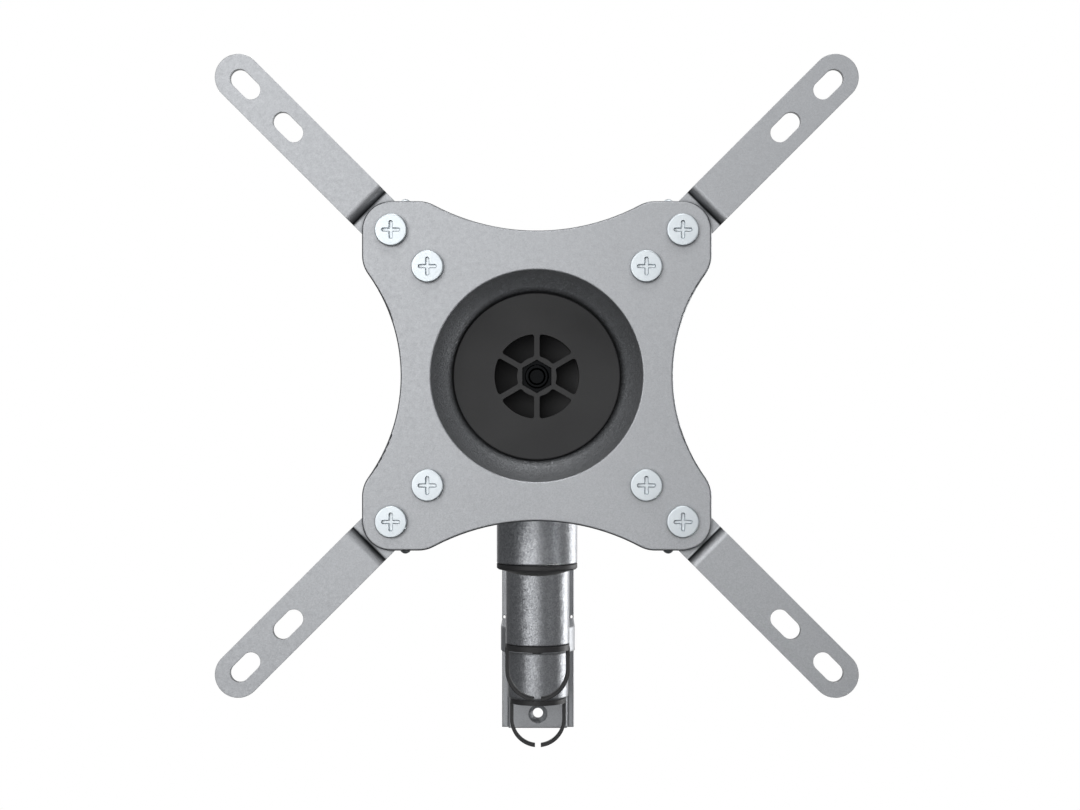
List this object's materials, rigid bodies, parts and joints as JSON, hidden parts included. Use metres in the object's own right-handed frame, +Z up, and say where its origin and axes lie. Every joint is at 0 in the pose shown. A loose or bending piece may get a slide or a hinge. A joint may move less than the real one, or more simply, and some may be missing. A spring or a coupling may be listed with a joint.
{
  "type": "articulated tv wall mount",
  "caption": "Swivel wall mount with two folding arms, a ball jointed dished screen plate and slotted extension arms.",
  "frame": {"origin": "on the wall face, midway between the two wall screw holes", "axes": "+X to the right when facing the screen side, +Y into the wall, +Z up"},
  "size_m": [0.2208, 0.4007, 0.2978],
  "materials": {
    "silver_paint": "satin",
    "metallic_paint": "satin",
    "black_plastic": "matte",
    "bearing_plastic": "satin",
    "steel": "satin",
    "black_steel": "satin",
    "zinc": "satin"
  },
  "bodies": {
    "wall": {"wall_plate": "silver_paint", "wall_collar": "silver_paint", "wall_barrel": "metallic_paint", "wall_clip_cap": "black_plastic", "wall_shaft": "steel", "wall_washer": "steel", "wall_nut": "steel"},
    "rear_arm": {"rear_arm": "metallic_paint", "rear_arm_lower_bush": "bearing_plastic", "rear_arm_upper_bush": "bearing_plastic", "rear_arm_cap": "black_plastic", "elbow_clip_cap": "black_plastic", "elbow_shaft": "steel", "elbow_washer": "steel", "elbow_nut": "steel"},
    "front_arm": {"front_arm": "metallic_paint", "front_arm_lower_bush": "bearing_plastic", "front_arm_upper_bush": "bearing_plastic", "front_arm_cap": "black_plastic", "dome_cap": "black_plastic", "head_shaft": "steel", "head_washer": "steel", "head_nut": "steel"},
    "head": {"head": "metallic_paint", "head_lower_bush": "bearing_plastic", "head_upper_bush": "bearing_plastic", "head_cap": "black_plastic"},
    "clamp": {"clamp_bolt": "black_steel", "clamp_washer": "black_steel", "clamp_nut": "black_steel", "front_cup": "black_plastic"},
    "pad": {"rear_pad": "bearing_plastic"},
    "screen": {"screen_plate": "silver_paint", "arm_upper_left": "silver_paint", "arm_upper_right": "silver_paint", "arm_lower_left": "silver_paint", "arm_lower_right": "silver_paint", "plate_screws": "zinc", "wing_nuts": "zinc"}
  },
  "joints": [
    {"name": "wall_swivel", "type": "hinge", "parent": "wall", "child": "rear_arm", "pos_m": [0, -0.0375, 0.0063], "axis": [0, 0, 1], "range_deg": [-90, 90]},
    {"name": "elbow_swivel", "type": "hinge", "parent": "rear_arm", "child": "front_arm", "pos_m": [0, -0.1875, 0.0537], "axis": [0, 0, 1], "range_deg": [-180, 180]},
    {"name": "head_swivel", "type": "hinge", "parent": "front_arm", "child": "head", "pos_m": [0, -0.3375, 0.1011], "axis": [0, 0, 1], "range_deg": [-90, 90]},
    {"name": "screen_roll", "type": "hinge", "parent": "head", "child": "clamp", "pos_m": [0, -0.40907, 0.1227], "axis": [0, 1, 0], "continuous": true},
    {"name": "screen_pan", "type": "hinge", "parent": "clamp", "child": "pad", "pos_m": [0, -0.40907, 0.1227], "axis": [0, 0, 1], "range_deg": [-15, 15]},
    {"name": "screen_tilt", "type": "hinge", "parent": "pad", "child": "screen", "pos_m": [0, -0.40907, 0.1227], "axis": [1, 0, 0], "range_deg": [-15, 15]}
  ]
}
